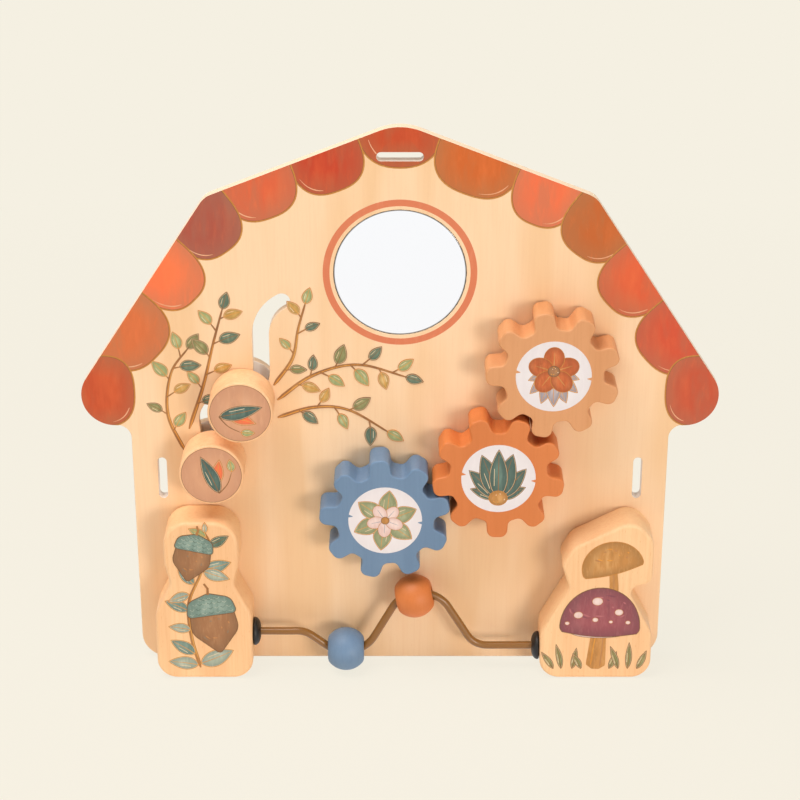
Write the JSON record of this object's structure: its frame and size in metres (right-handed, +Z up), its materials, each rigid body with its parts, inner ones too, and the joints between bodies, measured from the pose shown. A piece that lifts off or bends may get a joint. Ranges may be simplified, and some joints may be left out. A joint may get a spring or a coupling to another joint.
{
  "type": "activity board",
  "caption": "House-shaped wooden play panel with a mirror, meshing toothed wheels, buttons that ride in a winding slot, and beads on a bent wire between blocks.",
  "frame": {"origin": "on the floor, in the middle of the whole board's width and depth", "axes": "+X to the right seen from the front, +Y towards the back, +Z up; the play side faces -Y"},
  "size_m": [0.3996, 0.0486, 0.3634],
  "materials": {
    "lacquered_plywood": "clear matt lacquer over birch veneer",
    "sanded_beech": "sanded and waxed",
    "orange_stain": "orange water stain, the grain shows",
    "blue_stain": "grey-blue water stain, the grain shows",
    "tan_stain": "tan water stain, the grain shows",
    "acrylic_mirror": "polished safety mirror",
    "coated_wire": "smooth brown coating",
    "black_rubber": "moulded, satin",
    "natural_nylon": "stamped sheet",
    "zinc_steel": "zinc plated"
  },
  "bodies": {
    "board": {"board_panel": "lacquered_plywood", "mirror_plate": "acrylic_mirror", "left_block": "sanded_beech", "left_block_lower_screw": "zinc_steel", "left_block_upper_screw": "zinc_steel", "left_grommet": "black_rubber", "right_block": "sanded_beech", "right_block_lower_screw": "zinc_steel", "right_block_upper_screw": "zinc_steel", "right_grommet": "black_rubber", "bead_wire": "coated_wire", "orange_wheel_spacer": "natural_nylon", "blue_wheel_spacer": "natural_nylon", "tan_wheel_spacer": "natural_nylon"},
    "orange_gear": {"orange_wheel": "orange_stain", "orange_wheel_axle": "sanded_beech", "orange_wheel_washer": "zinc_steel", "orange_wheel_screw": "zinc_steel"},
    "blue_gear": {"blue_wheel": "blue_stain", "blue_wheel_axle": "sanded_beech", "blue_wheel_washer": "zinc_steel", "blue_wheel_screw": "zinc_steel"},
    "tan_gear": {"tan_wheel": "tan_stain", "tan_wheel_axle": "sanded_beech", "tan_wheel_washer": "zinc_steel", "tan_wheel_screw": "zinc_steel"},
    "upper_keeper": {"upper_button_keeper": "lacquered_plywood"},
    "upper_knob": {"upper_button": "sanded_beech", "upper_button_spindle": "sanded_beech", "upper_button_washer": "zinc_steel", "upper_button_screw": "zinc_steel"},
    "lower_keeper": {"lower_button_keeper": "lacquered_plywood"},
    "lower_knob": {"lower_button": "sanded_beech", "lower_button_spindle": "sanded_beech", "lower_button_washer": "zinc_steel", "lower_button_screw": "zinc_steel"},
    "blue_ball": {"blue_bead": "blue_stain"},
    "orange_ball": {"orange_bead": "orange_stain"}
  },
  "joints": [
    {"name": "orange_gear_turn", "type": "hinge", "parent": "board", "child": "orange_gear", "pos_m": [0.0616, 0.0047, 0.1425], "axis": [0, -1, 0], "continuous": true},
    {"name": "blue_gear_turn", "type": "hinge", "parent": "board", "child": "blue_gear", "pos_m": [-0.00935, 0.0047, 0.11311], "axis": [0, -1, 0], "continuous": true},
    {"name": "tan_gear_turn", "type": "hinge", "parent": "board", "child": "tan_gear", "pos_m": [0.09418, 0.0047, 0.21205], "axis": [0, -1, 0], "continuous": true},
    {"name": "upper_button_travel", "type": "hinge", "parent": "board", "child": "upper_keeper", "pos_m": [-0.1064, 0.0047, 0.20596], "axis": [0, -1, 0], "range_deg": [0, 67.3]},
    {"name": "upper_button_spin", "type": "hinge", "parent": "upper_keeper", "child": "upper_knob", "pos_m": [-0.09868, 0.0047, 0.18751], "axis": [0, -1, 0], "continuous": true},
    {"name": "lower_button_travel", "type": "slide", "parent": "board", "child": "lower_keeper", "axis": [0.1392, 0, -0.9903], "range_m": [0, 0.01]},
    {"name": "lower_button_spin", "type": "hinge", "parent": "lower_keeper", "child": "lower_knob", "pos_m": [-0.11791, 0.0047, 0.1451], "axis": [0, -1, 0], "continuous": true},
    {"name": "blue_bead_travel", "type": "hinge", "parent": "board", "child": "blue_ball", "pos_m": [-0.03519, -0.0103, 0.03411], "axis": [0, 1, 0], "range_deg": [-32, 10]},
    {"name": "orange_bead_travel", "type": "hinge", "parent": "board", "child": "orange_ball", "pos_m": [0.01331, -0.0103, 0.03549], "axis": [0, 1, 0], "range_deg": [-18, 42]}
  ],
  "couplings": [
    {"joint": "blue_gear_turn", "follows": "orange_gear_turn", "ratio": -1},
    {"joint": "tan_gear_turn", "follows": "orange_gear_turn", "ratio": -1}
  ]
}
